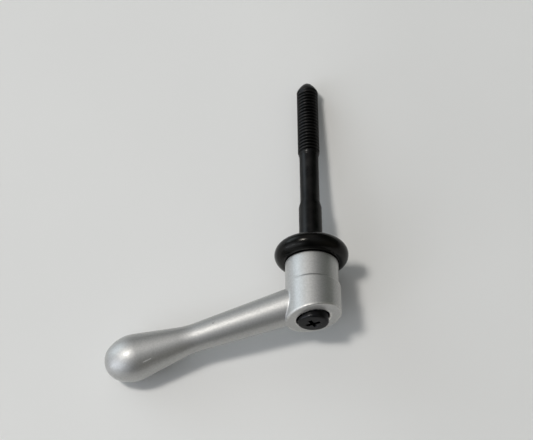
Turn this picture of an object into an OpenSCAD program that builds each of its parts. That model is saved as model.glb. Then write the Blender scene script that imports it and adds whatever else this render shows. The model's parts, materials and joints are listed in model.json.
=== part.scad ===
// Adjustable clamping lever with a 5/16 inch stud, lying at rest on a table.
// The lever stands on three points: the thread's first crest, the ring's rim and the pear-shaped end.
// Sizes are in millimetres. In the lever's own frame the axis is Z, the hub's stud-side face is Z = 0,
// the screw is at +Z, the stud's tip at -Z, and the arm reaches toward -X.

/* [Hub] */
// Outside diameter of the hub
hub_d = 18.3; // [17:0.1:22]
// Height of the hub on its axis, from the stud-side face to the slanted end
hub_h = 21.1; // [19.5:0.1:26]
// Slant of the hub's end, rising toward the arm, in degrees
end_slant = 9.7; // [4:0.1:11]
// Height of the plain upper part, from the stud-side face to the proud band
step_h = 9.15; // [6.5:0.05:13]
// How far the band stands proud of the hub, opposite the arm
band_proud = 0.55; // [0.3:0.05:1.1]
// How far the band is set off the hub's axis, away from the arm
band_offset = 0.3; // [0.2:0.02:0.6]
// Rounding of the band's upper edge
band_round = 0.45; // [0.2:0.05:1]
// Rounding of the hub's stud-side edge
hub_round = 0.55; // [0.2:0.05:1.2]

/* [Arm] */
// Height at which the arm's axis leaves the hub's axis
arm_h = 13.8; // [12.5:0.05:15]
// Rise of the arm above the plane of the hub's face, in degrees
arm_rise = 15.8; // [8:0.1:22]
// Diameter of the arm at the hub's axis
arm_root_d = 12.95; // [11:0.05:14]
// Diameter of the arm at its neck
neck_d = 9.35; // [7.5:0.05:11]
// Distance of the neck along the arm
neck_reach = 43.4; // [35:0.2:50]
// Radius of the hollow curve at the neck
neck_curve = 28; // [11:1:44]
// Diameter of the pear-shaped end
pear_d = 15.9; // [13:0.1:19.5]
// Distance of the pear's thickest part along the arm
pear_reach = 63; // [57:0.2:76]
// Diameter of the pear's rounded nose
nose_d = 14.6; // [12:0.1:15.6]
// How far the nose's centre lies past the pear's thickest part
nose_shift = 2.6; // [1.6:0.1:4.4]

/* [Stud] */
// Nominal diameter of the thread, over its crests
thread_d = 7.94; // [7:0.02:8.8]
// Length of the threaded end, without the coned tip
thread_len = 27.2; // [18:0.1:36]
// Diameter of the flat at the tip's end
tip_d = 2.6; // [1.6:0.1:4]
// Length of the coned tip
tip_len = 3.6; // [2:0.1:4.4]
// Rounding between the tip's flat and its cone
tip_round = 0.7; // [0.3:0.1:1.2]
// Diameter of the waist between thread and shank
waist_d = 6.9; // [5.6:0.1:7.4]
// Length of the waist, without its tapers
waist_len = 19.2; // [9:0.1:26]
// Length of the taper from the thread to the waist
runout_len = 2.3; // [1.5:0.1:6]
// Length of the taper from the waist to the shank
taper_len = 2.7; // [1:0.1:6]
// Diameter of the plain shank
shank_d = 8.1; // [7.6:0.05:9]
// Length of the plain shank, up to the collar
shank_len = 16; // [7:0.1:22]
// Diameter of the collar that carries the ring
collar_d = 12.9; // [12:0.1:13.4]

/* [Coupling] */
// Number of teeth
teeth = 24; // [12:12:36]
// Diameter over the stud's teeth
spline_d = 12.5; // [11.4:0.1:12.7]
// Height of a tooth
tooth_h = 0.75; // [0.4:0.05:0.9]
// Engaged length of the teeth
tooth_len = 4.6; // [3.2:0.1:4.8]
// Depth of the socket's plain mouth
mouth_h = 2.2; // [1.1:0.1:3.2]
// Play between the stud's teeth and the socket
spline_play = 0.1; // [0.05:0.01:0.2]
// Gap between the collar and the ends of the socket's teeth
tooth_gap = 0.3; // [0.2:0.05:0.6]
// Thickness of the web between socket and spring pocket
web_t = 2.7; // [1.6:0.1:4.4]

/* [Screw and spring] */
// Diameter of the screw's head
head_d = 10; // [9.6:0.1:10.4]
// Height of the screw's head
head_h = 4; // [2.8:0.1:4.8]
// Rounding of the head's upper edge
head_round = 1.2; // [0.5:0.1:2]
// Diameter of the screw's shoulder
shoulder_d = 6.5; // [5.8:0.1:7]
// Diameter of the screw's thread
screw_d = 5; // [4:0.1:5]
// Length of the screw's threaded end
screw_len = 9.8; // [6.5:0.1:11]
// Width across the cross recess
cross_w = 5.2; // [4:0.1:5.8]
// Width of one slot of the cross
cross_slot = 1.2; // [0.9:0.1:1.5]
// Depth of the cross recess
cross_depth = 2.4; // [1:0.1:2.8]
// Turn of the cross about the axis, in degrees
cross_turn = 20; // [0:1:89]
// Length of the spring between the web and the head
spring_len = 9.4; // [7.6:0.1:11]
// Diameter of the spring's wire
wire_d = 0.85; // [0.6:0.05:1]
// Number of turns of the spring, with its closed ends
turns = 4; // [3:0.5:5]
// Play round the screw's head in its recess
head_play = 0.55; // [0.3:0.05:0.9]
// Play round the shoulder, the thread and the spring's wire
close_play = 0.05; // [0.02:0.01:0.1]

/* [Ring] */
// Thickness of the ring's cord
cord_d = 6.3; // [4.4:0.1:7.6]
// Play between the ring and the hub's face
ring_play = 0.15; // [0.05:0.05:0.4]
// Play between the ring and the collar
ring_fit = 0.02; // [0.01:0.01:0.1]

/* [Hidden] */
$fn = 96;
over = 1;

// A tooth's width at its foot and at its crown, as shares of the pitch
tooth_foot = 0.68;
tooth_crown = 0.32;

// Levels along the axis
collar_top = mouth_h - tooth_gap;
head_top = mouth_h + tooth_len;
web_top = head_top + web_t;
screw_seat = web_top + spring_len;
collar_len = cord_d + ring_play;
shank_end = -collar_len - shank_len;
waist_top = shank_end - taper_len;
waist_end = waist_top - waist_len;
thread_top = waist_end - runout_len;
thread_end = thread_top - thread_len;
tip_end = thread_end - tip_len;

// Radii that follow from the fits
hub_r = hub_d / 2;
band_r = hub_r + band_proud - band_offset;
thread_r = thread_d / 2;
spline_r = spline_d / 2;
collar_r = collar_d / 2;
cord_r = cord_d / 2;
ring_r = collar_r + ring_fit + cord_r;
ring_mid = -ring_play - cord_r;
recess_r = head_d / 2 + head_play;
coil_r = (shoulder_d / 2 + recess_r) / 2;

// Angle at which the tip's rounding runs into its cone
cone_x = thread_r - tip_d / 2;
cone_y = tip_len - tip_round;
tip_turn = atan2(cone_y, cone_x) - acos(tip_round / norm([cone_x, cone_y]));

// Arm's outline: the nose and the pear are balls on the arm's axis, joined by a common tangent
pear_r = pear_d / 2;
nose_r = nose_d / 2;
neck_r = neck_d / 2;
root_r = arm_root_d / 2;
nose_reach = pear_reach + nose_shift;
nose_lean = asin((pear_r - nose_r) / nose_shift);
pear_gap = pear_reach - neck_reach;
pear_lean = atan2(-pear_gap, neck_r) + acos(pear_r / norm([neck_r, pear_gap]));

// Angles of the arm's two slopes, and the hollow curve that joins them at the neck
arm_lean = atan2(neck_r - root_r, neck_reach);
neck_turn = (-pear_lean - arm_lean) / 2;
neck_mid = (-pear_lean + arm_lean) / 2;
curve_away = neck_curve / cos(neck_turn);
curve_x = neck_r + curve_away * cos(neck_mid);
curve_y = neck_reach - curve_away * sin(neck_mid);

// Resting place: tilt from thread crest and ring, roll from the lower of the arm's two balls
lie_run = -thread_end + ring_mid;
lie_rise = ring_r - thread_r;
tilt = asin(cord_r / norm([lie_run, lie_rise])) + atan2(lie_rise, lie_run);
axis_h = -thread_end * sin(tilt) + thread_r * cos(tilt);
function ball_h(reach) = axis_h + (arm_h + reach * sin(arm_rise)) * sin(tilt);
function ball_roll(reach, r) = asin((ball_h(reach) - r) / (reach * cos(arm_rise) * cos(tilt)));
roll = min(ball_roll(pear_reach, pear_r), ball_roll(nose_reach, nose_r));

// Middle of the resting lever's outline on the table
function ball_x(reach) = -reach * cos(arm_rise) * cos(roll);
function ball_drop(reach) = reach * cos(arm_rise) * sin(roll) * sin(tilt);
function ball_y(reach) = -(arm_h + reach * sin(arm_rise)) * cos(tilt) - ball_drop(reach);
left = min(ball_x(pear_reach) - pear_r, ball_x(nose_reach) - nose_r);
right = ring_r + cord_r;
near = min(ball_y(pear_reach) - pear_r, ball_y(nose_reach) - nose_r);
far = tip_d / 2 * sin(tilt) - (tip_end + tip_round) * cos(tilt) + tip_round;

// Points of an arc about a centre, from one angle to another
function arc(x, y, r, from, to, steps) =
    [for (i = [0:steps]) let (a = from + (to - from) * i / steps) [x + r * cos(a), y + r * sin(a)]];

// Outline of a ring of teeth, grown by a play on every flank
function tooth(i, play) =
    let (
        pitch = 360 / teeth,
        root = spline_r - tooth_h + play,
        crest = spline_r + play,
        wide = pitch * tooth_foot / 2 + asin(play / root),
        slim = pitch * tooth_crown / 2 + asin(play / crest)
    )
    [for (p = [[root, -wide], [crest, -slim], [crest, slim], [root, wide]])
        let (a = pitch * i + p[1]) [p[0] * cos(a), p[0] * sin(a)]];

module teeth_outline(play) {
    polygon([for (i = [0:teeth - 1]) each tooth(i, play)]);
}

// Puts a piece from the lever's own frame to its place on the table
module lying() {
    translate([-(left + right) / 2, -(near + far) / 2, axis_h])
        rotate([90 - tilt, 0, 0])
            rotate([0, 0, roll])
                children();
}

module hub_body() {
    length = hub_h + (hub_r + band_proud) * tan(end_slant) + over;
    rotate_extrude()
        polygon(concat(
            [[0, 0]],
            arc(hub_r - hub_round, hub_round, hub_round, -90, 0, 5),
            [[hub_r, length], [0, length]]));
    translate([band_offset, 0, step_h])
        rotate_extrude()
            polygon(concat(
                [[0, 0]],
                arc(band_r - band_round, band_round, band_round, -90, 0, 4),
                [[band_r, length - step_h], [0, length - step_h]]));
}

module arm_body() {
    translate([0, 0, arm_h])
        rotate([0, arm_rise - 90, 0])
            rotate_extrude()
                polygon(concat(
                    [[0, 0], [root_r, 0]],
                    arc(curve_x, curve_y, neck_curve, 180 - arm_lean, 180 + pear_lean, 6),
                    arc(0, pear_reach, pear_r, pear_lean, nose_lean, 6),
                    arc(0, nose_reach, nose_r, nose_lean, 90, 16)));
}

module slanted_end() {
    reach = hub_r + band_proud + over;
    translate([0, 0, hub_h])
        rotate([0, end_slant, 0])
            cylinder(r = reach, h = 2 * hub_r);
}

module handle() {
    color("silver")
        lying()
            difference() {
                union() {
                    hub_body();
                    arm_body();
                }
                slanted_end();
                translate([0, 0, -over])
                    cylinder(r = collar_r + spline_play, h = mouth_h + over);
                translate([0, 0, mouth_h - over])
                    linear_extrude(tooth_len + over)
                        teeth_outline(spline_play);
                cylinder(r = shoulder_d / 2 + close_play, h = hub_h);
                translate([0, 0, web_top])
                    cylinder(r = recess_r, h = hub_h);
            }
}

module clamp_stud() {
    color("dimgray")
        lying()
            difference() {
                union() {
                    rotate_extrude()
                        polygon(concat(
                            [[0, tip_end]],
                            arc(tip_d / 2, tip_end + tip_round, tip_round, -90, tip_turn, 4),
                            [
                                [thread_r, thread_end],
                                [thread_r, thread_top],
                                [waist_d / 2, waist_end],
                                [waist_d / 2, waist_top],
                                [shank_d / 2, shank_end],
                                [shank_d / 2, -collar_len],
                                [collar_r, -collar_len],
                                [collar_r, collar_top],
                                [0, collar_top]]));
                    translate([0, 0, collar_top])
                        linear_extrude(head_top - collar_top)
                            teeth_outline(0);
                }
                translate([0, 0, head_top - screw_len - over])
                    cylinder(r = screw_d / 2 + close_play, h = screw_len + 2 * over);
            }
}

module cross_recess() {
    taper = 0.6;
    intersection() {
        cylinder(d1 = cross_w * taper, d2 = cross_w, h = cross_depth);
        for (a = [0, 90])
            rotate([0, 0, a])
                translate([-cross_w / 2, -cross_slot / 2, 0])
                    cube([cross_w, cross_slot, cross_depth]);
    }
}

module retaining_screw() {
    color("dimgray")
        lying()
            difference() {
                rotate_extrude()
                    polygon(concat(
                        [
                            [0, head_top - screw_len],
                            [screw_d / 2, head_top - screw_len],
                            [screw_d / 2, head_top],
                            [shoulder_d / 2, head_top],
                            [shoulder_d / 2, screw_seat],
                            [head_d / 2, screw_seat]],
                        arc(head_d / 2 - head_round, screw_seat + head_h - head_round, head_round, 0, 90, 6),
                        [[0, screw_seat + head_h]]));
                translate([0, 0, screw_seat + head_h - cross_depth])
                    rotate([0, 0, cross_turn])
                        cross_recess();
            }
}

// Height of the wire's middle after a share of the turns: closed at both ends, open between
function wire_z(turn) =
    let (
        low = web_top + wire_d / 2 + close_play,
        high = screw_seat - wire_d / 2 - close_play,
        open = high - low - 2 * wire_d,
        share = (turn - 1) / (turns - 2)
    )
    turn < 1 ? low + wire_d * turn
        : turn > turns - 1 ? high - wire_d * (turns - turn)
        : low + wire_d + open * share;

module spring() {
    sides = 10;
    steps = 20;
    rings = floor(turns * steps);
    points = [for (i = [0:rings]) for (k = [0:sides - 1])
        let (
            a = 360 * i / steps,
            b = 360 * k / sides,
            r = coil_r + wire_d / 2 * cos(b)
        )
        [r * cos(a), r * sin(a), wire_z(i / steps) + wire_d / 2 * sin(b)]];
    walls = [for (i = [0:rings - 1]) for (k = [0:sides - 1])
        let (next = (k + 1) % sides)
        [i * sides + k, i * sides + next, (i + 1) * sides + next, (i + 1) * sides + k]];
    ends = [
        [for (k = [sides - 1:-1:0]) k],
        [for (k = [0:sides - 1]) rings * sides + k]];
    color("slategray")
        lying()
            polyhedron(points, concat(walls, ends));
}

module seal_ring() {
    color("black")
        lying()
            translate([0, 0, ring_mid])
                rotate_extrude()
                    translate([ring_r, 0])
                        circle(r = cord_r);
}

handle();
clamp_stud();
retaining_screw();
spring();
seal_ring();
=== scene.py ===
import json
import math

import bmesh
import bpy
import numpy as np
from mathutils import Matrix, Vector


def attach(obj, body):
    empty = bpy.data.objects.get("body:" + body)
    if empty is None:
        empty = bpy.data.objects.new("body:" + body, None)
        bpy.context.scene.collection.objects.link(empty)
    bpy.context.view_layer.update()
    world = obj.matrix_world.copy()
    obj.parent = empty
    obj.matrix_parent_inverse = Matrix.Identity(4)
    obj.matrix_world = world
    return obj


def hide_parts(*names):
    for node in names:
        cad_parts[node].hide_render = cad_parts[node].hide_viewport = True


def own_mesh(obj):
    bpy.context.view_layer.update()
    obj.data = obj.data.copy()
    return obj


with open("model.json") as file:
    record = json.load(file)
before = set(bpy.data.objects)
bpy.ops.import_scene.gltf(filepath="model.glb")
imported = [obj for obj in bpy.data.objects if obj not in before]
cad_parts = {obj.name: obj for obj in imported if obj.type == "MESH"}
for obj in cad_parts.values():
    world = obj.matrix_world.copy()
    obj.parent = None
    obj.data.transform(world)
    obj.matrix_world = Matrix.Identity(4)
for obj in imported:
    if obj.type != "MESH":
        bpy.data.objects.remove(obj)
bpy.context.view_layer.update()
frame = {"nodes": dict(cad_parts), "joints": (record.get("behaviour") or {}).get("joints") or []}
scene = bpy.context.scene
print("frame loaded:", ", ".join(sorted(frame["nodes"])))

# the lever's own frame: axis along Z, hub face at Z = 0, screw at +Z, arm toward -X, sizes in mm
turnJoint = next(joint for joint in frame["joints"] if joint["name"] == "index_turn")
axisDir = Vector(turnJoint["axis"]).normalized()  # toward the screw
axisFoot = Vector(turnJoint["pos_m"])
sideDir = Vector((1, 0, 0))
upDir = axisDir.cross(sideDir).normalized()

handleSize = {
    "hubRadius": 9.15,
    "hubHeight": 21.1,
    "hubRound": 0.55,
    "bandStart": 9.15,
    "bandOffset": 0.3,
    "bandRadius": 9.4,
    "bandRound": 0.45,
    "stepFillet": 0.12,
    "endSlant": 9.7,  # degrees
    "endRound": 0.45,
    "endMargin": 0.3,  # the slanted cut lets go of the arm from here outward
    "endRelease": 0.9,
    "recessRadius": 5.55,
    "recessFloor": 9.5,
    "rimRound": 0.3,
    "holeRadius": 3.3,
    "mouthRadius": 6.55,
    "mouthDepth": 2.2,
    "mouthClear": 1.0,  # the socket's cutter starts this far below the hub
    "socketTop": 6.8,
    "toothCrest": 6.35,
    "toothRoot": 5.6,
    "toothPlay": 0.1,
    "armHeight": 13.8,
    "armRise": 15.8,  # degrees
    "armStart": 1.0,  # from the hub's axis
    "rootRadius": 6.475,
    "rootFillet": 0.3,
    "neckRadius": 4.675,
    "neckReach": 43.4,
    "neckCurve": 28.0,
    "pearRadius": 7.9,
    "pearReach": 63.0,
    "pearCurve": 12.5,
    "pearEnd": 73.05,
    "restRadius": 7.95,  # the pear's middle lies this high on the table
    "cell": 0.27,  # grid on which the skin is made, and its corners
    "gridLow": (-75.0, -10.4),
    "gridHigh": (11.0, 10.4, 41.0),
    "gridSpare": 3,  # cells below the hub
}


def lyingRoll(size):
    # the arm's end touches the table
    sinTilt = axisDir.z
    cosTilt = math.sqrt(1 - sinTilt * sinTilt)
    rise = math.radians(size["armRise"])
    middle = axisFoot.z * 1000 + (size["armHeight"] + size["pearReach"] * math.sin(rise)) * sinTilt
    return math.asin((middle - size["restRadius"]) / (size["pearReach"] * math.cos(rise) * cosTilt))


roll = lyingRoll(handleSize)
leverX = sideDir * math.cos(roll) + upDir * math.sin(roll)
leverY = upDir * math.cos(roll) - sideDir * math.sin(roll)
leverTurn = Matrix((leverX, leverY, axisDir)).transposed().to_4x4()
leverPlace = Matrix.Translation(axisFoot) @ leverTurn @ Matrix.Scale(0.001, 4)
print("lever rolled by %.2f degrees" % math.degrees(roll))


# mesh helpers

def meshFrom(name, points, faces):
    mesh = bpy.data.meshes.new(name)
    mesh.from_pydata([tuple(p) for p in points], [], [tuple(int(i) for i in f) for f in faces])
    mesh.update()
    return mesh


def facesOutward(mesh, weld=1e-4):
    work = bmesh.new()
    work.from_mesh(mesh)
    bmesh.ops.remove_doubles(work, verts=work.verts, dist=weld)
    bmesh.ops.recalc_face_normals(work, faces=work.faces)
    work.to_mesh(mesh)
    work.free()
    return mesh


def tempObject(name, data):
    made = bpy.data.objects.new(name, data)
    scene.collection.objects.link(made)
    return made


def evaluatedMesh(made):
    # the modifiers' result as a plain mesh; the modifiers go
    graph = bpy.context.evaluated_depsgraph_get()
    mesh = bpy.data.meshes.new_from_object(made.evaluated_get(graph))
    mesh.name = made.name
    made.modifiers.clear()
    made.data = mesh
    return mesh


def cutAway(made, cutter):
    joint = made.modifiers.new("cut", "BOOLEAN")
    joint.operation = "DIFFERENCE"
    joint.solver = "EXACT"
    joint.object = cutter
    mesh = evaluatedMesh(made)
    bpy.data.objects.remove(cutter)
    return mesh


def ringMesh(name, rings, closed=False):
    # skins a row of rings with equal counts; a ring of one point is a pole
    points, starts, faces = [], [], []
    for ring in rings:
        starts.append((len(points), len(ring)))
        points.extend(ring)
    pairs = list(zip(starts[:-1], starts[1:]))
    if closed:
        pairs.append((starts[-1], starts[0]))
    for (a, countA), (b, countB) in pairs:
        count = max(countA, countB)
        for i in range(count):
            k = (i + 1) % count
            if countA == 1:
                faces.append((a, b + k, b + i))
            elif countB == 1:
                faces.append((a + i, a + k, b))
            else:
                faces.append((a + i, a + k, b + k, b + i))
    return facesOutward(meshFrom(name, points, faces))


def circleRing(radius, z, count):
    if radius < 1e-6:
        return [(0, 0, z)]
    steps = [2 * math.pi * i / count for i in range(count)]
    return [(radius * math.cos(t), radius * math.sin(t), z) for t in steps]


def arcPoints(x, z, radius, start, end, count):
    steps = [math.radians(start + (end - start) * i / count) for i in range(count + 1)]
    return [(x + radius * math.cos(t), z + radius * math.sin(t)) for t in steps]


def vertexValues(mesh, label):
    values = np.empty(len(mesh.vertices) * 3)
    mesh.vertices.foreach_get(label, values)
    return values.reshape(-1, 3)


# how wear, and the dirt and painted shade of inner corners, are read off a mesh, in mm
maskSize = {
    "skin": 0.06,  # a point this near the field's zero level is on the skin
    "inside": 0.9,  # depth at which an outer edge shows, and its range
    "edgeRange": 0.35,
    "outside": 0.5,  # height at which an inner corner shows, and its range
    "cornerRange": 0.22,
    "shortEdge": 0.02,
    "rubBend": (0.5, 1.6),  # bend per mm at which rub starts, and its range
    "hollowBend": (0.25, 0.9),
}


def keepMasks(mesh, rub, hollow):
    # two masks for the materials, both 0 to 1: rub on outer edges, and hollow in inner corners, which darkens
    # them as dirt and painted shade
    for name, value in (("rub", rub), ("hollow", hollow)):
        layer = mesh.attributes.new(name, "FLOAT", "POINT")
        layer.data.foreach_set("value", np.clip(value, 0, 1).astype(np.float32))


def fieldMasks(mesh, field, size):
    # read a little outside and inside the skin; faces cut later lie off the field and get none
    place, normal = vertexValues(mesh, "co"), vertexValues(mesh, "normal")
    onSkin = np.abs(field(place)) < size["skin"]
    inside = field(place - size["inside"] * normal)
    outside = field(place + size["outside"] * normal)
    rub = onSkin * (inside + size["inside"]) / size["edgeRange"]
    # hollow is high where the field closes in just outside the skin, as occlusion does: painted shade, with
    # dirt, in those corners
    hollow = onSkin * (size["outside"] - outside) / size["cornerRange"]
    keepMasks(mesh, rub, hollow)


def edgeMasks(mesh, size):
    # read from how far the neighbours of a point lie above or below it
    count = len(mesh.vertices)
    place, normal = vertexValues(mesh, "co"), vertexValues(mesh, "normal")
    edge = np.empty(len(mesh.edges) * 2, dtype=np.int64)
    mesh.edges.foreach_get("vertices", edge)
    edge = edge.reshape(-1, 2)
    bend, weight = np.zeros(count), np.zeros(count)
    for a, b in ((edge[:, 0], edge[:, 1]), (edge[:, 1], edge[:, 0])):
        step = place[b] - place[a]
        length = np.maximum(np.linalg.norm(step, axis=1), size["shortEdge"])
        np.add.at(bend, a, np.einsum("ij,ij->i", normal[a], step) / length)
        np.add.at(weight, a, length)
    bend = 2 * bend / np.maximum(weight, 1e-6)
    rubStart, rubRange = size["rubBend"]
    hollowStart, hollowRange = size["hollowBend"]
    # concave bends give hollow, the mask for dirt and painted shade
    keepMasks(mesh, (-bend - rubStart) / rubRange, (bend - hollowStart) / hollowRange)


def finishPiece(made, mesh, material, body, node, sharp=50, field=None):
    # closes the mesh, puts it in its place on the table and hands it to the frame
    facesOutward(mesh)
    if field:
        fieldMasks(mesh, field, maskSize)
    else:
        edgeMasks(mesh, maskSize)
    mesh.transform(leverPlace)
    mesh.materials.clear()
    mesh.materials.append(material)
    mesh.polygons.foreach_set("material_index", [0] * len(mesh.polygons))
    mesh.shade_smooth()
    mesh.set_sharp_from_angle(angle=math.radians(sharp))
    made.data = mesh
    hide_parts(node)
    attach(made, body)
    print(made.name, "has", len(mesh.polygons), "faces")


# node helpers

def link(tree, source, target):
    tree.links.new(source, target)


def feed(tree, socket, value):
    # a number is set on the socket, anything else is linked to it
    if isinstance(value, (int, float)):
        socket.default_value = value
    else:
        link(tree, value, socket)


def nodeWith(tree, kind, **values):
    made = tree.nodes.new(kind)
    for name, value in values.items():
        setattr(made, name, value)
    return made


def mathOn(tree, operation, *inputs):
    made = nodeWith(tree, "ShaderNodeMath", operation=operation)
    for socket, value in zip(made.inputs, inputs):
        feed(tree, socket, value)
    return made.outputs[0]


def mapOn(tree, value, low, high, first, last, kind="LINEAR"):
    made = nodeWith(tree, "ShaderNodeMapRange", interpolation_type=kind)
    labels = ("Value", "From Min", "From Max", "To Min", "To Max")
    for label, item in zip(labels, (value, low, high, first, last)):
        feed(tree, made.inputs[label], item)
    return made.outputs["Result"]


def newTree(name, kind, inputs, outputs):
    tree = bpy.data.node_groups.new(name, kind)
    for label, socketType, value in inputs:
        socket = tree.interface.new_socket(name=label, in_out="INPUT", socket_type=socketType)
        if value is not None:
            socket.default_value = value
    for label, socketType in outputs:
        tree.interface.new_socket(name=label, in_out="OUTPUT", socket_type=socketType)
    return tree, tree.nodes.new("NodeGroupInput"), tree.nodes.new("NodeGroupOutput")


def applyTree(made, tree, values):
    # inputs are set by their identifiers before the object is first evaluated
    joint = made.modifiers.new(tree.name, "NODES")
    joint.node_group = tree
    for item in tree.interface.items_tree:
        if item.item_type == "SOCKET" and item.in_out == "INPUT" and item.name in values:
            joint[item.identifier] = values[item.name]
    return evaluatedMesh(made)


def movedTo(tree, geometry, *place):
    # sets the points of a geometry to x, y, z
    join = tree.nodes.new("ShaderNodeCombineXYZ")
    for socket, value in zip(join.inputs, place):
        link(tree, value, socket)
    move = tree.nodes.new("GeometryNodeSetPosition")
    link(tree, geometry, move.inputs["Geometry"])
    link(tree, join.outputs[0], move.inputs["Position"])
    return move.outputs[0]


def endTree(tree, geometry, finish, result):
    real = tree.nodes.new("GeometryNodeRealizeInstances")
    link(tree, geometry, real.inputs[0])
    paint = tree.nodes.new("GeometryNodeSetMaterial")
    link(tree, real.outputs[0], paint.inputs["Geometry"])
    link(tree, finish, paint.inputs["Material"])
    link(tree, paint.outputs[0], result.inputs[0])


def threadTree():
    # rolls a right-hand thread into a turned blank whose axis is Z
    tree, given, result = newTree("rolledThread", "GeometryNodeTree", [
        ("Blank", "NodeSocketGeometry", None),
        ("Pitch", "NodeSocketFloat", 1.25),
        ("Crest", "NodeSocketFloat", 4.0),
        ("Depth", "NodeSocketFloat", 0.7),
        ("Flank Start", "NodeSocketFloat", 0.16),  # both as shares of half a pitch
        ("Flank End", "NodeSocketFloat", 0.86),
        ("Top", "NodeSocketFloat", 0.0),
        ("Bottom", "NodeSocketFloat", -20.0),
        ("Fade", "NodeSocketFloat", 1.0),
        ("Finish", "NodeSocketMaterial", None),
    ], [("Mesh", "NodeSocketGeometry")])

    def on(operation, *inputs):
        return mathOn(tree, operation, *inputs)

    size = given.outputs
    split = tree.nodes.new("ShaderNodeSeparateXYZ")
    link(tree, tree.nodes.new("GeometryNodeInputPosition").outputs[0], split.inputs[0])
    x, y, z = split.outputs
    radius = on("SQRT", on("ADD", on("MULTIPLY", x, x), on("MULTIPLY", y, y)))
    turn = on("DIVIDE", on("ARCTAN2", y, x), 2 * math.pi)
    phase = on("FRACT", on("SUBTRACT", on("DIVIDE", z, size["Pitch"]), turn))
    flank = on("ABSOLUTE", on("SUBTRACT", on("MULTIPLY", phase, 2), 1))
    groove = mapOn(tree, flank, size["Flank Start"], size["Flank End"], 0, 1, "SMOOTHSTEP")
    topEnd, bottomEnd = on("ADD", size["Top"], size["Fade"]), on("SUBTRACT", size["Bottom"], size["Fade"])
    fadeTop = mapOn(tree, z, size["Top"], topEnd, 1, 0, "SMOOTHSTEP")
    fadeBottom = mapOn(tree, z, bottomEnd, size["Bottom"], 0, 1, "SMOOTHSTEP")
    fade = on("MULTIPLY", fadeTop, fadeBottom)
    floor = on("SUBTRACT", size["Crest"], on("MULTIPLY", groove, size["Depth"]))
    proud = on("MAXIMUM", on("SUBTRACT", radius, floor), 0)
    held = on("SUBTRACT", radius, on("MULTIPLY", proud, fade))
    share = on("DIVIDE", held, on("MAXIMUM", radius, 1e-4))
    rolled = movedTo(tree, size["Blank"], on("MULTIPLY", x, share), on("MULTIPLY", y, share), z)
    endTree(tree, rolled, size["Finish"], result)
    return tree


def coilTree():
    # winds wire from a low to a high level, with one closed turn at each end
    tree, given, result = newTree("woundCoil", "GeometryNodeTree", [
        ("Turns", "NodeSocketFloat", 4.0),
        ("Coil Radius", "NodeSocketFloat", 4.0),
        ("Wire Radius", "NodeSocketFloat", 0.4),
        ("Low", "NodeSocketFloat", 0.0),
        ("High", "NodeSocketFloat", 8.0),
        ("Steps", "NodeSocketInt", 240),
        ("Sides", "NodeSocketInt", 18),
        ("Finish", "NodeSocketMaterial", None),
    ], [("Mesh", "NodeSocketGeometry")])

    def on(operation, *inputs):
        return mathOn(tree, operation, *inputs)

    size = given.outputs
    line = tree.nodes.new("GeometryNodeCurvePrimitiveLine")
    even = tree.nodes.new("GeometryNodeResampleCurve")
    link(tree, line.outputs[0], even.inputs["Curve"])
    link(tree, size["Steps"], even.inputs["Count"])
    index = tree.nodes.new("GeometryNodeInputIndex").outputs[0]
    turns, low, high = size["Turns"], size["Low"], size["High"]
    turn = on("MULTIPLY", on("DIVIDE", index, on("SUBTRACT", size["Steps"], 1)), turns)
    angle = on("MULTIPLY", turn, 2 * math.pi)
    wire = on("MULTIPLY", size["Wire Radius"], 2)
    firstTurn = on("MINIMUM", turn, 1)
    lastTurn = on("MAXIMUM", on("SUBTRACT", turn, on("SUBTRACT", turns, 1)), 0)
    openTurn = on("SUBTRACT", on("SUBTRACT", turn, lastTurn), firstTurn)
    closedRise = on("MULTIPLY", on("ADD", firstTurn, lastTurn), wire)
    room = on("SUBTRACT", on("SUBTRACT", high, low), on("MULTIPLY", wire, 2))
    openRise = on("MULTIPLY", on("DIVIDE", openTurn, on("SUBTRACT", turns, 2)), room)
    level = on("ADD", low, on("ADD", closedRise, openRise))
    across = on("MULTIPLY", on("COSINE", angle), size["Coil Radius"])
    aside = on("MULTIPLY", on("SINE", angle), size["Coil Radius"])
    path = movedTo(tree, even.outputs[0], across, aside, level)
    circle = tree.nodes.new("GeometryNodeCurvePrimitiveCircle")
    link(tree, size["Sides"], circle.inputs["Resolution"])
    link(tree, size["Wire Radius"], circle.inputs["Radius"])
    sweep = tree.nodes.new("GeometryNodeCurveToMesh")
    sweep.inputs["Fill Caps"].default_value = True
    link(tree, path, sweep.inputs["Curve"])
    link(tree, circle.outputs[0], sweep.inputs["Profile Curve"])
    endTree(tree, sweep.outputs[0], size["Finish"], result)
    return tree


# shared shader groups

def noiseOn(tree, vector, scale, detail):
    made = tree.nodes.new("ShaderNodeTexNoise")
    made.inputs["Detail"].default_value = detail
    link(tree, vector, made.inputs["Vector"])
    link(tree, scale, made.inputs["Scale"])
    return made.outputs["Fac"]


def grainGroup():
    # coarse and fine noise: a height for bump and a mask for colour and roughness
    tree, given, result = newTree("fineGrain", "ShaderNodeTree", [
        ("Vector", "NodeSocketVector", None),
        ("Coarse Scale", "NodeSocketFloat", 200.0),
        ("Fine Scale", "NodeSocketFloat", 2000.0),
        ("Fine Share", "NodeSocketFloat", 0.4),
        ("Mask Low", "NodeSocketFloat", 0.3),
        ("Mask High", "NodeSocketFloat", 0.7),
    ], [("Height", "NodeSocketFloat"), ("Mask", "NodeSocketFloat")])
    size = given.outputs
    coarse = noiseOn(tree, size["Vector"], size["Coarse Scale"], 3)
    fine = noiseOn(tree, size["Vector"], size["Fine Scale"], 1)
    mixed = tree.nodes.new("ShaderNodeMix")
    link(tree, size["Fine Share"], mixed.inputs["Factor"])
    link(tree, coarse, mixed.inputs["A"])
    link(tree, fine, mixed.inputs["B"])
    mask = mapOn(tree, coarse, size["Mask Low"], size["Mask High"], 0, 1, "SMOOTHSTEP")
    link(tree, mixed.outputs["Result"], result.inputs["Height"])
    link(tree, mask, result.inputs["Mask"])
    return tree


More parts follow.
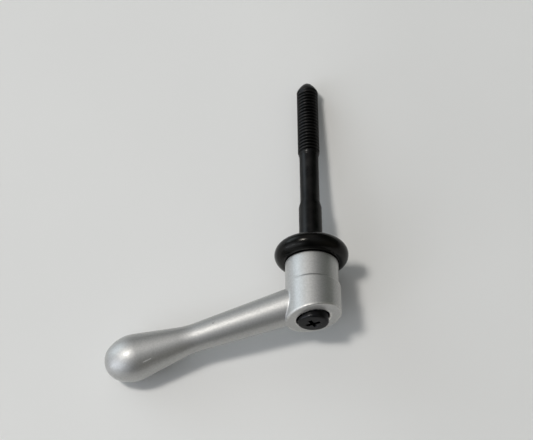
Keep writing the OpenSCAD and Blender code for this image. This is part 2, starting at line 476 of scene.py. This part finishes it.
def rubGroup():
    # worn outer edges, and dirt with painted shade in the hollows, both broken up by noise
    tree, given, result = newTree("edgeRub", "ShaderNodeTree", [
        ("Vector", "NodeSocketVector", None),
        ("Scale", "NodeSocketFloat", 600.0),
        ("Wear", "NodeSocketFloat", 0.5),
        ("Dirt And Shade", "NodeSocketFloat", 0.5),
        ("Break Low", "NodeSocketFloat", 0.3),
        ("Break High", "NodeSocketFloat", 0.52),
        # the least share of dirt and painted shade where the noise breaks it up
        ("Least Dirt", "NodeSocketFloat", 0.6),
    ], [("Worn", "NodeSocketFloat"), ("Grime And Shade", "NodeSocketFloat")])
    size = given.outputs
    noise = noiseOn(tree, size["Vector"], size["Scale"], 2)
    broken = mapOn(tree, noise, size["Break Low"], size["Break High"], 0, 1, "SMOOTHSTEP")
    rub = nodeWith(tree, "ShaderNodeAttribute", attribute_name="rub").outputs["Fac"]
    hollow = nodeWith(tree, "ShaderNodeAttribute", attribute_name="hollow").outputs["Fac"]
    worn = mathOn(tree, "MULTIPLY", mathOn(tree, "MULTIPLY", rub, broken), size["Wear"])
    # the hollow mask gives dirt and painted shade in inner corners
    held = mathOn(tree, "MULTIPLY", mapOn(tree, broken, 0, 1, 1, size["Least Dirt"]), size["Dirt And Shade"])
    link(tree, worn, result.inputs["Worn"])
    link(tree, mathOn(tree, "MULTIPLY", hollow, held), result.inputs["Grime And Shade"])
    return tree


def markGroup():
    # a soft mark along a line, for a chip or a scratch
    tree, given, result = newTree("paintMark", "ShaderNodeTree", [
        ("Vector", "NodeSocketVector", None),
        ("Start", "NodeSocketVector", (0, 0, 0)),
        ("End", "NodeSocketVector", (0, 0, 0)),
        ("Radius", "NodeSocketFloat", 0.0004),
        ("Core", "NodeSocketFloat", 0.5),  # both as shares of the radius
        ("Rim", "NodeSocketFloat", 1.1),
    ], [("Mask", "NodeSocketFloat")])

    def vectorOn(operation, first, second):
        made = nodeWith(tree, "ShaderNodeVectorMath", operation=operation)
        link(tree, first, made.inputs[0])
        link(tree, second, made.inputs[1])
        return made.outputs["Value" if operation in ("DOT_PRODUCT", "DISTANCE") else "Vector"]

    size = given.outputs
    line = vectorOn("SUBTRACT", size["End"], size["Start"])
    reach = vectorOn("SUBTRACT", size["Vector"], size["Start"])
    along = mathOn(tree, "DIVIDE", vectorOn("DOT_PRODUCT", reach, line), vectorOn("DOT_PRODUCT", line, line))
    nearest = nodeWith(tree, "ShaderNodeVectorMath", operation="SCALE")
    link(tree, line, nearest.inputs[0])
    link(tree, mapOn(tree, along, 0, 1, 0, 1), nearest.inputs["Scale"])
    away = mathOn(tree, "DIVIDE", vectorOn("DISTANCE", reach, nearest.outputs[0]), size["Radius"])
    link(tree, mapOn(tree, away, size["Core"], size["Rim"], 1, 0, "SMOOTHSTEP"), result.inputs["Mask"])
    return tree


grain, edgeRub, paintMark = grainGroup(), rubGroup(), markGroup()


# material helpers

def groupIn(tree, group, vector, values):
    made = nodeWith(tree, "ShaderNodeGroup", node_tree=group)
    link(tree, vector, made.inputs["Vector"])
    for name, value in values.items():
        made.inputs[name].default_value = value
    return made.outputs


def mixColour(tree, factor, first, second):
    made = nodeWith(tree, "ShaderNodeMix", data_type="RGBA")
    sockets = [s for s in made.inputs if s.enabled]
    for socket, value in zip(sockets, (factor, first, second)):
        if isinstance(value, tuple):
            socket.default_value = value + (1,)
        else:
            feed(tree, socket, value)
    return next(s for s in made.outputs if s.enabled)


def newMaterial(name, **sockets):
    material = bpy.data.materials.new(name)
    material.use_nodes = True
    tree = material.node_tree
    shader = tree.nodes["Principled BSDF"]
    for label, value in sockets.items():
        shader.inputs[label.replace("_", " ")].default_value = value
    where = tree.nodes.new("ShaderNodeTexCoord").outputs["Object"]
    return material, tree, shader.inputs, where  # callers feed the shader by its inputs


def bumpOn(tree, height, strength, distance):
    bump = tree.nodes.new("ShaderNodeBump")
    bump.inputs["Strength"].default_value = strength
    bump.inputs["Distance"].default_value = distance
    link(tree, height, bump.inputs["Height"])
    return bump.outputs[0]


def alongAxis(tree, where):
    # turns Object coordinates so that Z runs along the lever's axis, in metres from the hub's face
    turned = nodeWith(tree, "ShaderNodeMapping", vector_type="TEXTURE")
    turned.inputs["Location"].default_value = axisFoot
    turned.inputs["Rotation"].default_value = axisDir.to_track_quat("Z", "Y").to_euler()
    link(tree, where, turned.inputs["Vector"])
    return turned.outputs[0]


# in each look, roughness is that of the first and of the second colour, and bump is strength and distance
paintLook = {
    "shade": (0.455, 0.453, 0.444),
    "silver": (0.50, 0.498, 0.488),
    "bare": (0.78, 0.765, 0.73),
    # the colour for dirt and painted shade in inner corners, such as at the hub's step
    "grimeAndShade": (0.10, 0.095, 0.085),
    "roughness": (0.55, 0.49),
    "wornGloss": 0.1,
    "coatWeight": 0.5,
    "coatRoughness": 0.1,
    "grain": {"Coarse Scale": 1700, "Fine Scale": 5200, "Fine Share": 0.45},
    "rub": {"Scale": 900, "Wear": 0.55, "Dirt And Shade": 0.8},
    "bump": (0.16, 0.00006),
    # marks in the paint, each with its place, colour and how metallic it is
    "marks": {
        "chip": (
            {"Start": (-0.0048, -0.0411, 0.016), "End": (-0.0048, -0.0411, 0.016), "Radius": 0.00035},
            (0.18, 0.17, 0.16), 1.0),
        "scratch": (
            {"Start": (-0.0277, -0.054, 0.0142), "End": (-0.0252, -0.0528, 0.0143), "Radius": 0.00015},
            (0.82, 0.82, 0.80), 0.2),
    },
    "markBreak": 0.5,  # strength of a mark where the grain breaks it
}


def silverPaint(look):
    material, tree, shader, where = newMaterial(
        "silverPaint", Coat_Weight=look["coatWeight"], Coat_Roughness=look["coatRoughness"])
    skin = groupIn(tree, grain, where, look["grain"])
    rub = groupIn(tree, edgeRub, where, look["rub"])
    colour = mixColour(tree, skin["Mask"], look["shade"], look["silver"])
    colour = mixColour(tree, rub["Worn"], colour, look["bare"])
    # dirt and painted shade darken the inner corners
    colour = mixColour(tree, rub["Grime And Shade"], colour, look["grimeAndShade"])
    metal = 1.0
    for place, tone, shine in look["marks"].values():
        spot = groupIn(tree, paintMark, where, place)["Mask"]
        spot = mathOn(tree, "MULTIPLY", spot, mapOn(tree, skin["Mask"], 0, 1, look["markBreak"], 1))
        colour = mixColour(tree, spot, colour, tone)
        metal = mapOn(tree, spot, 0, 1, metal, shine)
    rough = mapOn(tree, skin["Mask"], 0, 1, *look["roughness"])
    rough = mathOn(tree, "SUBTRACT", rough, mathOn(tree, "MULTIPLY", rub["Worn"], look["wornGloss"]))
    link(tree, colour, shader["Base Color"])
    link(tree, metal, shader["Metallic"])
    link(tree, rough, shader["Roughness"])
    link(tree, bumpOn(tree, skin["Height"], *look["bump"]), shader["Normal"])
    return material


steelLook = {
    "black": (0.019, 0.019, 0.0192),
    "brown": (0.028, 0.0276, 0.027),
    "bare": (0.045, 0.0445, 0.044),
    "glare": (0.72, 0.72, 0.72, 1),
    "roughness": (0.27, 0.38),
    "grain": {"Coarse Scale": 260, "Fine Scale": 2340, "Fine Share": 0.4},
    "rub": {"Scale": 1100, "Wear": 0.6, "Dirt And Shade": 0.3},
    "lathe": {"Scale": 900, "Distortion": 1.5},  # fine rings left by the lathe
    "latheShare": 0.5,
    "bump": (0.2, 0.00005),
}

screwLook = {
    **steelLook,
    "black": (0.025, 0.025, 0.026),
    "brown": (0.032, 0.032, 0.033),
    "grain": {"Coarse Scale": 500, "Fine Scale": 4500, "Fine Share": 0.4},
    "lathe": None,
}


def blackSteel(name, look):
    material, tree, shader, where = newMaterial(name, Metallic=1.0, Specular_Tint=look["glare"])
    skin = groupIn(tree, grain, where, look["grain"])
    rub = groupIn(tree, edgeRub, where, look["rub"])
    colour = mixColour(tree, skin["Mask"], look["black"], look["brown"])
    height = skin["Height"]
    if look["lathe"]:
        rings = nodeWith(tree, "ShaderNodeTexWave", wave_type="BANDS", bands_direction="Z")
        for label, value in look["lathe"].items():
            rings.inputs[label].default_value = value
        link(tree, alongAxis(tree, where), rings.inputs["Vector"])
        turned = mathOn(tree, "MULTIPLY", rings.outputs["Fac"], look["latheShare"])
        height = mathOn(tree, "ADD", height, turned)
    link(tree, mixColour(tree, rub["Worn"], colour, look["bare"]), shader["Base Color"])
    link(tree, mapOn(tree, skin["Mask"], 0, 1, *look["roughness"]), shader["Roughness"])
    link(tree, bumpOn(tree, height, *look["bump"]), shader["Normal"])
    return material


wireLook = {
    "dull": (0.30, 0.30, 0.31),
    "bright": (0.50, 0.50, 0.51),
    # the colour for dirt and painted shade in concave spots
    "grimeAndShade": (0.06, 0.05, 0.04),
    "roughness": (0.42, 0.26),
    "grain": {"Coarse Scale": 700, "Fine Scale": 4000, "Fine Share": 0.5},
    "rub": {"Scale": 900, "Wear": 0.2, "Dirt And Shade": 0.6},
    "bump": (0.15, 0.00003),
}


def springWire(look):
    material, tree, shader, where = newMaterial("springWire", Metallic=1.0)
    skin = groupIn(tree, grain, where, look["grain"])
    rub = groupIn(tree, edgeRub, where, look["rub"])
    colour = mixColour(tree, skin["Mask"], look["dull"], look["bright"])
    # dirt and painted shade darken the concave spots
    link(tree, mixColour(tree, rub["Grime And Shade"], colour, look["grimeAndShade"]), shader["Base Color"])
    link(tree, mapOn(tree, skin["Mask"], 0, 1, *look["roughness"]), shader["Roughness"])
    link(tree, bumpOn(tree, skin["Height"], *look["bump"]), shader["Normal"])
    return material


rubberLook = {
    "black": (0.0008, 0.0008, 0.0007),
    "bloom": (0.0025, 0.0024, 0.0022),
    "worn": (0.015, 0.0145, 0.014),
    "gloss": 0.17,
    "glare": (1.0, 0.97, 0.91, 1),
    "roughness": (0.18, 0.24),
    "grain": {"Coarse Scale": 260, "Fine Scale": 3600, "Fine Share": 0.5},
    "rub": {"Scale": 700, "Wear": 0.3, "Dirt And Shade": 0.2},
    "bump": (0.22, 0.00006),
}


def blackRubber(look):
    material, tree, shader, where = newMaterial(
        "blackRubber", Specular_IOR_Level=look["gloss"], Specular_Tint=look["glare"])
    skin = groupIn(tree, grain, where, look["grain"])
    rub = groupIn(tree, edgeRub, where, look["rub"])
    colour = mixColour(tree, skin["Mask"], look["black"], look["bloom"])
    link(tree, mixColour(tree, rub["Worn"], colour, look["worn"]), shader["Base Color"])
    link(tree, mapOn(tree, skin["Mask"], 0, 1, *look["roughness"]), shader["Roughness"])
    link(tree, bumpOn(tree, skin["Height"], *look["bump"]), shader["Normal"])
    return material


silverCoat = silverPaint(paintLook)
studSteel = blackSteel("studSteel", steelLook)
screwSteel = blackSteel("screwSteel", screwLook)
coilSteel = springWire(wireLook)
ringRubber = blackRubber(rubberLook)
print("materials made")


# handle casting: one smooth field in the lever's frame, skinned on a fine grid

def roundCut(a, b, edge):
    # intersection of two fields with a rounded outer edge
    corner = np.hypot(np.maximum(a + edge, 0), np.maximum(b + edge, 0))
    return np.minimum(np.maximum(a, b), -edge) + corner


def filletJoin(a, b, fillet):
    # union of two fields with a rounded inner corner
    corner = np.hypot(np.maximum(fillet - a, 0), np.maximum(fillet - b, 0))
    return np.maximum(np.minimum(a, b), fillet) - corner


def armField(p, size):
    # a cone, a hollow neck, a slope, a shoulder arc and a round nose, each tangent to the next
    rise = math.radians(size["armRise"])
    x, y, z = p[:, 0], p[:, 1], p[:, 2] - size["armHeight"]
    along = -x * math.cos(rise) + z * math.sin(rise)
    away = np.hypot(x * math.sin(rise) + z * math.cos(rise), y)
    neck, curve, pearReach = size["neckRadius"], size["pearCurve"], size["pearReach"]
    drop = curve - size["pearRadius"]  # the shoulder's centre lies beyond the arm's axis
    length = size["pearEnd"] - pearReach
    nose = (curve ** 2 - drop ** 2 - length ** 2) / (curve - length) / 2
    noseReach = size["pearEnd"] - nose
    # leans of the tangent points, from the named radii and reaches
    noseLean = math.atan2(noseReach - pearReach, drop)
    gap = pearReach - size["neckReach"]
    pearLean = math.atan2(-gap, neck + drop) + math.acos(curve / math.hypot(neck + drop, gap))
    armLean = math.atan2(neck - size["rootRadius"], size["neckReach"])
    half, middle = (-pearLean - armLean) / 2, (-pearLean + armLean) / 2
    reach = size["neckCurve"] / math.cos(half)
    curveR, curveS = neck + reach * math.cos(middle), size["neckReach"] - reach * math.sin(middle)
    cone = (away - size["rootRadius"]) * math.cos(armLean) - along * math.sin(armLean)
    hollow = size["neckCurve"] - np.hypot(away - curveR, along - curveS)
    slope = (away + drop) * math.cos(pearLean) + (along - pearReach) * math.sin(pearLean) - curve
    shoulder = np.hypot(away + drop, along - pearReach) - curve
    tip = np.hypot(away, along - noseReach) - nose
    # each stretch holds between the radial lines at its two tangent points
    pastArm = along > curveS + size["neckCurve"] * math.sin(armLean)
    pastNeck = along > curveS - size["neckCurve"] * math.sin(pearLean)
    pastSlope = (along - pearReach) > (away + drop) * math.tan(pearLean)
    pastShoulder = (along - pearReach) > (away + drop) * math.tan(noseLean)
    return np.select([pastShoulder, pastSlope, pastNeck, pastArm], [tip, shoulder, slope, hollow], cone)


def handleField(p, size):
    x, y, z = p[:, 0], p[:, 1], p[:, 2]
    away = np.hypot(x, y)
    hub = roundCut(away - size["hubRadius"], -z, size["hubRound"])
    bandAway = np.hypot(x - size["bandOffset"], y)
    band = roundCut(bandAway - size["bandRadius"], size["bandStart"] - z, size["bandRound"])
    body = filletJoin(hub, band, size["stepFillet"])
    arm = np.maximum(armField(p, size), x + size["armStart"])
    body = filletJoin(body, arm, size["rootFillet"])
    slant = math.radians(size["endSlant"])
    past = np.maximum(-x - size["hubRadius"] + size["endMargin"], 0)
    end = x * math.sin(slant) + (z - size["hubHeight"]) * math.cos(slant)
    end = end - size["endRelease"] * past ** 2 / (1 + past)
    body = roundCut(body, end, size["endRound"])
    recess = np.minimum(size["recessRadius"] - away, z - size["recessFloor"])
    body = roundCut(body, recess, size["rimRound"])
    return np.maximum(body, size["holeRadius"] - away)


def settled(field, points, cell, probe=0.01, rounds=4, leastSlope=0.2):
    # moves points along the field's slope until they lie on its zero level
    for i in range(rounds):
        steps = probe * np.eye(3)
        slope = np.stack([field(points + e) - field(points - e) for e in steps], 1) / (2 * probe)
        steep = np.maximum((slope ** 2).sum(1), leastSlope)
        move = (field(points) / steep)[:, None] * slope
        points = points - np.clip(move, -cell, cell)
    return points


def surfaceNet(field, low, high, cell):
    # skins the field's zero level, with one point in each cell that the level crosses
    counts = np.ceil((high - low) / cell).astype(int) + 1
    axes = [low[k] + cell * np.arange(counts[k]) for k in range(3)]
    sheets = [np.stack(np.meshgrid([x], axes[1], axes[2], indexing="ij"), -1) for x in axes[0]]
    value = np.stack([field(sheet.reshape(-1, 3)) for sheet in sheets]).reshape(counts)
    inside = value < 0
    span = counts - 1
    unit = np.eye(3, dtype=int)
    corners = [np.array((a, b, c)) for a in (0, 1) for b in (0, 1) for c in (0, 1)]
    total = np.zeros(span, dtype=int)
    for corner in corners:
        total += inside[tuple(slice(corner[k], corner[k] + span[k]) for k in range(3))]
    cells = np.argwhere((total > 0) & (total < 8))
    spot, hits = np.zeros((len(cells), 3)), np.zeros(len(cells))
    for corner in corners:
        for step in unit[corner == 0]:  # the cell's edges that start at this corner
            a = value[tuple((cells + corner).T)]
            b = value[tuple((cells + corner + step).T)]
            crossed = (a < 0) != (b < 0)
            share = np.where(crossed, a / np.where(crossed, a - b, 1), 0)
            spot += np.where(crossed[:, None], corner + share[:, None] * step, 0)
            hits += crossed
    points = low + cell * (cells + spot / hits[:, None])
    ids = np.full(span, -1)
    ids[tuple(cells.T)] = np.arange(len(cells))
    quads = []
    for k in range(3):
        u, v = unit[(k + 1) % 3], unit[(k + 2) % 3]
        first = inside.take(range(span[k]), axis=k)
        second = inside.take(range(1, span[k] + 1), axis=k)
        edges = np.argwhere(first != second)
        quad = np.stack([ids[tuple((edges - s).T)] for s in (u + v, v, u * 0, u)], 1)
        flip = ~first[tuple(edges.T)]
        quad[flip] = quad[flip][:, ::-1]
        quads.append(quad)
    return settled(field, points, cell), np.concatenate(quads)


# teeth of the coupling, shared by socket and stud: half widths are shares of the pitch
toothSize = {"count": 24, "corners": 4, "footShare": 0.34, "crownShare": 0.16}
toothCorners = toothSize["count"] * toothSize["corners"]


def toothRing(root, crest, play, z):
    pitch = 2 * math.pi / toothSize["count"]
    foot = pitch * toothSize["footShare"] + math.asin(play / root)
    crown = pitch * toothSize["crownShare"] + math.asin(play / crest)
    ring = []
    for i in range(toothSize["count"]):
        for radius, turn in ((root, -foot), (crest, -crown), (crest, crown), (root, foot)):
            angle = pitch * i + turn
            ring.append((radius * math.cos(angle), radius * math.sin(angle), z))
    return ring


def socketCutter(size):
    start, mouth, top = -size["mouthClear"], size["mouthRadius"], size["socketTop"]
    teeth = size["toothRoot"], size["toothCrest"], size["toothPlay"]
    return ringMesh("socket", [
        [(0, 0, start)],
        circleRing(mouth, start, toothCorners),
        circleRing(mouth, size["mouthDepth"], toothCorners),
        toothRing(*teeth, size["mouthDepth"]),
        toothRing(*teeth, top),
        [(0, 0, top)],
    ])


def handleCasting(size):
    # the grid starts half a cell off the step, so the step's ledge runs through whole cells
    cell = size["cell"]
    below = math.ceil(size["bandStart"] / cell + size["gridSpare"]) - 0.5
    low = np.array([*size["gridLow"], size["bandStart"] - below * cell])

    def field(p):
        return handleField(p, size)

    points, quads = surfaceNet(field, low, np.array(size["gridHigh"]), cell)
    made = tempObject("handleCasting", meshFrom("handleCasting", points, quads))
    mesh = cutAway(made, tempObject("socket", socketCutter(size)))
    finishPiece(made, mesh, silverCoat, "handle", "handle", sharp=55, field=field)


handleCasting(handleSize)


# clamp stud: a turned blank with rolled thread, toothed head and tapped hole

studSize = {
    "tipEnd": -77.45,
    "tipFlat": 1.3,
    "tipRound": 0.7,
    "tipBulge": 0.18,
    "tipRows": 5,
    "threadEnd": -73.85,
    "threadTop": -46.65,
    "crest": 3.97,
    "crestFlat": 0.02,
    "depth": 0.76,
    "pitch": 1.411,
    "fade": 1.6,
    "runOut": 0.3,
    "waistEnd": -44.35,
    "waistTop": -25.15,
    "waistRadius": 3.45,
    "shankEnd": -22.45,
    "shankRadius": 4.05,
    "collarFoot": -6.45,
    "collarTop": 1.9,
    "collarRadius": 6.45,
    "headTop": 6.8,
    "toothCrest": 6.25,
    "toothRoot": 5.5,
    "holeRadius": 2.55,
    "holeFoot": -4.0,
    "drillPoint": 1.0,
    "bevel": 0.2,
    "rows": 15,  # to each pitch of the thread
}

threadCutter = threadTree()


def denseSpan(outline, low, high, step):
    # adds rows to an outline between two levels, so that a thread can be rolled there
    rows = [outline[0]]
    for (r0, z0), (r1, z1) in zip(outline[:-1], outline[1:]):
        inside = min(z0, z1) >= low - 1e-6 and max(z0, z1) <= high + 1e-6
        count = max(1, math.ceil(abs(z1 - z0) / step)) if inside else 1
        rows += [(r0 + (r1 - r0) * i / count, z0 + (z1 - z0) * i / count) for i in range(1, count + 1)]
    return rows


def studTip(size):
    # a round nose and a cone that is a little full
    crest, flat, nose, rows = size["crest"], size["tipFlat"], size["tipRound"], size["tipRows"]
    coneX, coneZ = crest - flat, size["threadEnd"] - size["tipEnd"] - nose
    turn = math.atan2(coneZ, coneX) - math.acos(nose / math.hypot(coneX, coneZ))
    outline = [(0, size["tipEnd"])]
    outline += arcPoints(flat, size["tipEnd"] + nose, nose, -90, math.degrees(turn), rows)
    coneR, coneFoot = outline[-1]
    for i in range(1, rows):
        share = i / rows
        proud = size["tipBulge"] * 4 * share * (1 - share)
        outline.append((coneR + (crest - coneR) * share + proud * math.cos(turn),
                        coneFoot + (size["threadEnd"] - coneFoot) * share + proud * math.sin(turn)))
    return outline


def studBody(size):
    waist, shank, collar = size["waistRadius"], size["shankRadius"], size["collarRadius"]
    collarFoot, collarTop, headTop = size["collarFoot"], size["collarTop"], size["headTop"]
    root, crest, hole, bevel = size["toothRoot"], size["toothCrest"], size["holeRadius"], size["bevel"]
    outline = studTip(size) + [
        (size["crest"], size["threadEnd"]),
        (size["crest"], size["threadTop"]),
        (waist, size["waistEnd"]),
        (waist, size["waistTop"]),
        (shank, size["shankEnd"]),
        (shank, collarFoot),
        (collar - bevel, collarFoot),
        (collar, collarFoot + bevel),
        (collar, collarTop - bevel),
        (collar - bevel, collarTop),
    ]
    tipMiddle = size["tipEnd"] + size["tipRound"] / 2
    outline = denseSpan(outline, tipMiddle, size["waistEnd"], size["pitch"] / size["rows"])
    rings = [circleRing(r, z, toothCorners) for r, z in outline] + [
        toothRing(root, crest, 0, collarTop),
        toothRing(root, crest, 0, headTop - bevel),
        toothRing(root - bevel, crest - bevel, 0, headTop),
        circleRing(hole + bevel, headTop, toothCorners),
        circleRing(hole, headTop - bevel, toothCorners),
        circleRing(hole, size["holeFoot"], toothCorners),
        [(0, 0, size["holeFoot"] - size["drillPoint"])],
    ]
    made = tempObject("studBody", ringMesh("studBody", rings))
    mesh = applyTree(made, threadCutter, {
        "Pitch": size["pitch"],
        "Crest": size["crest"] - size["crestFlat"],
        "Depth": size["depth"],
        "Top": size["threadTop"] + size["runOut"],
        "Bottom": size["threadEnd"] + size["fade"],
        "Fade": size["fade"],
        "Finish": studSteel,
    })
    finishPiece(made, mesh, studSteel, "stud", "clamp_stud", sharp=40)


studBody(studSize)


# retaining screw: pan head with a cross recess, shoulder and threaded end

screwSize = {
    "foot": -3.0,
    "footBevel": 0.5,
    "threadRadius": 2.5,
    "threadDepth": 0.42,
    "pitch": 0.8,
    "rows": 10,  # to each pitch of the thread
    "runIn": 0.9,
    "runOut": 1.2,
    "fade": 0.6,
    "shoulderFoot": 6.8,
    "shoulderRadius": 3.25,
    "shoulderBevel": 0.15,
    "seat": 18.9,
    "seatBevel": 0.12,
    "headRadius": 5.25,
    "headHeight": 4.25,
    "headRound": 0.75,
    "rimTurn": 80,  # degrees of the rounded rim, and its rows
    "rimRows": 10,
    "crown": 0.12,
    "crownRows": 6,
    "turns": 72,
    "crossWidth": 5.2,
    "crossSlot": 1.35,
    "crossDepth": 2.4,
    "crossTaper": 0.6,
    "slotTaper": 0.25,
    "crossPoint": 0.25,
    "crossClear": 1.0,
    "crossTurn": 20,  # degrees
}


def crossCutter(size, top):
    # four wings that narrow to the bottom of the recess
    floor, above = top - size["crossDepth"], top + size["crossClear"]
    rings = []
    for share, z in ((size["crossTaper"], floor), (1.0, top), (1.0, above)):
        tip = size["crossWidth"] / 2 * share
        half = size["crossSlot"] / 2 * (1 - size["slotTaper"] + size["slotTaper"] * share)
        ring = []
        for i in range(4):
            turn = math.radians(size["crossTurn"] + 90 * i)
            c, s = math.cos(turn), math.sin(turn)
            ring += [(x * c - y * s, x * s + y * c, z) for x, y in ((half, -half), (tip, -half), (tip, half))]
        rings.append(ring)
    return ringMesh("cross", [[(0, 0, floor - size["crossPoint"])]] + rings + [[(0, 0, above)]])


def screwBody(size):
    thread, shoulder, head = size["threadRadius"], size["shoulderRadius"], size["headRadius"]
    foot, footBevel, shoulderFoot, seat = size["foot"], size["footBevel"], size["shoulderFoot"], size["seat"]
    top = seat + size["headHeight"]
    outline = [
        (0, foot),
        (thread - footBevel, foot),
        (thread, foot + footBevel),
        (thread, shoulderFoot),
        (shoulder - size["shoulderBevel"], shoulderFoot),
        (shoulder, shoulderFoot + size["shoulderBevel"]),
        (shoulder, seat),
        (head - size["seatBevel"], seat),
        (head, seat + size["seatBevel"]),
    ]
    rimX, rimZ = head - size["headRound"], top - size["crown"] - size["headRound"]
    outline += arcPoints(rimX, rimZ, size["headRound"], 0, size["rimTurn"], size["rimRows"])
    crownR, crownZ = outline[-1]
    for i in range(1, size["crownRows"] + 1):  # low crown from the rounded rim to the middle
        share = 1 - i / size["crownRows"]
        outline.append((crownR * share, top - (top - crownZ) * share * share))
    outline = denseSpan(outline, foot + footBevel, shoulderFoot, size["pitch"] / size["rows"])
    rings = [circleRing(r, z, size["turns"]) for r, z in outline]
    made = tempObject("screwBody", ringMesh("screwBody", rings))
    applyTree(made, threadCutter, {
        "Pitch": size["pitch"],
        "Crest": thread,
        "Depth": size["threadDepth"],
        "Top": shoulderFoot - size["runOut"],
        "Bottom": foot + size["runIn"],
        "Fade": size["fade"],
        "Finish": screwSteel,
    })
    mesh = cutAway(made, tempObject("cross", crossCutter(size, top)))
    finishPiece(made, mesh, screwSteel, "stud", "retaining_screw", sharp=40)


screwBody(screwSize)


# spring: wound wire between the web and the screw's head

springSize = {
    "turns": 4.0,
    "coilRadius": 4.4,
    "wireRadius": 0.425,
    "low": 9.5,
    "high": 18.9,
    "play": 0.05,
    "steps": 260,
}


def springCoil(size):
    made = tempObject("springCoil", meshFrom("springCoil", [(0, 0, 0)], []))
    edge = size["wireRadius"] + size["play"]
    mesh = applyTree(made, coilTree(), {
        "Turns": size["turns"],
        "Coil Radius": size["coilRadius"],
        "Wire Radius": size["wireRadius"],
        "Low": size["low"] + edge,
        "High": size["high"] - edge,
        "Steps": size["steps"],
        "Finish": coilSteel,
    })
    finishPiece(made, mesh, coilSteel, "spring", "spring")
    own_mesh(made)


springCoil(springSize)


# rubber ring: a thick round cord on the stud's collar

ringSize = {"ringRadius": 9.62, "cordRadius": 3.15, "middle": -3.3, "steps": 72, "turns": 160}


def rubberRing(size):
    cord = arcPoints(size["ringRadius"], size["middle"], size["cordRadius"], 0, 360, size["steps"])[:-1]
    rings = [circleRing(r, z, size["turns"]) for r, z in cord]
    made = tempObject("rubberRing", ringMesh("rubberRing", rings, closed=True))
    finishPiece(made, made.data, ringRubber, "stud", "seal_ring", sharp=80)


rubberRing(ringSize)
print("pieces made")


# floor, light and camera

floorLook = {
    "near": (0.785, 0.785, 0.772),
    "far": (0.735, 0.735, 0.722),
    "fade": (0.0, 0.08),  # where it goes from the near tone to the darker painted shade, along X
    "stain": 0.02,
    "roughness": 0.5,
    "gloss": 0.3,
    "grain": {"Coarse Scale": 9, "Fine Scale": 160, "Fine Share": 0.3},
    "reach": 3,
}


def paleFloor(look):
    reach = look["reach"]
    corners = [(-reach, -reach, 0), (reach, -reach, 0), (reach, reach, 0), (-reach, reach, 0)]
    mesh = meshFrom("floor", corners, [(0, 1, 2, 3)])
    material, tree, shader, where = newMaterial(
        "paleBoard", Specular_IOR_Level=look["gloss"], Roughness=look["roughness"])
    skin = groupIn(tree, grain, where, look["grain"])
    across = tree.nodes.new("ShaderNodeSeparateXYZ")
    link(tree, where, across.inputs[0])
    # painted shade: the floor's tone darkens along X, away from the light
    fade = mapOn(tree, across.outputs["X"], *look["fade"], 0, 1, "SMOOTHSTEP")
    tone = mixColour(tree, fade, look["near"], look["far"])
    stain = mapOn(tree, skin["Mask"], 0, 1, look["stain"], 0)
    link(tree, mixColour(tree, stain, tone, (0, 0, 0)), shader["Base Color"])
    mesh.materials.append(material)
    tempObject("floor", mesh)


lightLook = {
    "ambient": (0.01, 0.01, 0.01),
    # soft patches of light: azimuth, elevation, sharpness, brightness, tint
    "patches": {
        "highWindow": (170, 63, 350, 82.0, (1.03, 1.0, 0.955)),
        "backWindow": (145, 17, 22, 2.75, (0.89, 1.0, 1.08)),
        "leftWall": (213, 19, 9, 2.2, (0.955, 1.0, 1.09)),
        "backWall": (100, 48, 12, 0.54, (1.03, 1.0, 0.97)),
        "ceiling": (0, 82, 8, 0.42, (0.95, 1.0, 1.07)),
        "frontWall": (330, 30, 6, 0.22, (1.08, 1.02, 0.84)),
        "rightWall": (36, 20, 8, 0.09, (0.9, 1.1, 0.9)),
    },
    # small lamps that glint in the clear coat: azimuth and elevation, then the rest for all
    "lamps": ((158, 15), (206, 9), (213, 26), (235, 36)),
    "lampLight": (2500, 20.0, (0.9, 1.0, 1.06)),
}


def roomLight(look):
    world = bpy.data.worlds.new("room")
    scene.world = world
    world.use_nodes = True
    tree = world.node_tree
    where = nodeWith(tree, "ShaderNodeVectorMath", operation="NORMALIZE")
    link(tree, tree.nodes.new("ShaderNodeTexCoord").outputs["Generated"], where.inputs[0])
    total = None
    lamps = [place + look["lampLight"] for place in look["lamps"]]
    for azimuth, elevation, sharpness, brightness, tint in list(look["patches"].values()) + lamps:
        around, rise = math.radians(azimuth), math.radians(elevation)
        level = math.cos(rise)
        facing = nodeWith(tree, "ShaderNodeVectorMath", operation="DOT_PRODUCT")
        link(tree, where.outputs[0], facing.inputs[0])
        facing.inputs[1].default_value = (math.cos(around) * level, math.sin(around) * level, math.sin(rise))
        spread = mathOn(tree, "POWER", mathOn(tree, "MAXIMUM", facing.outputs["Value"], 0), sharpness)
        added = nodeWith(tree, "ShaderNodeVectorMath", operation="MULTIPLY_ADD")
        link(tree, spread, added.inputs[0])
        added.inputs[1].default_value = Vector(tint) * brightness
        if total:
            link(tree, total, added.inputs[2])
        else:
            added.inputs[2].default_value = look["ambient"]
        total = added.outputs[0]
    link(tree, total, tree.nodes["Background"].inputs["Color"])


cameraLook = {
    "place": (0.0138, -0.1798, 0.3916),
    "aim": (0.01303, 0.00422, 0.0),
    "roll": -0.43,  # degrees
    "lens": 81.04,
    "sensor": 36,
    "clip": (0.01, 20),
}


def photoCamera(look):
    data = bpy.data.cameras.new("camera")
    data.sensor_fit = "HORIZONTAL"
    data.sensor_width = look["sensor"]
    data.lens = look["lens"]
    data.clip_start, data.clip_end = look["clip"]
    sight = (Vector(look["aim"]) - Vector(look["place"])).to_track_quat("-Z", "Y").to_matrix()
    turn = sight @ Matrix.Rotation(math.radians(look["roll"]), 3, "Z")
    scene.camera = tempObject("camera", data)
    scene.camera.matrix_world = Matrix.Translation(look["place"]) @ turn.to_4x4()


paleFloor(floorLook)
roomLight(lightLook)
photoCamera(cameraLook)
scene.view_settings.view_transform = "Standard"
print("stage made")
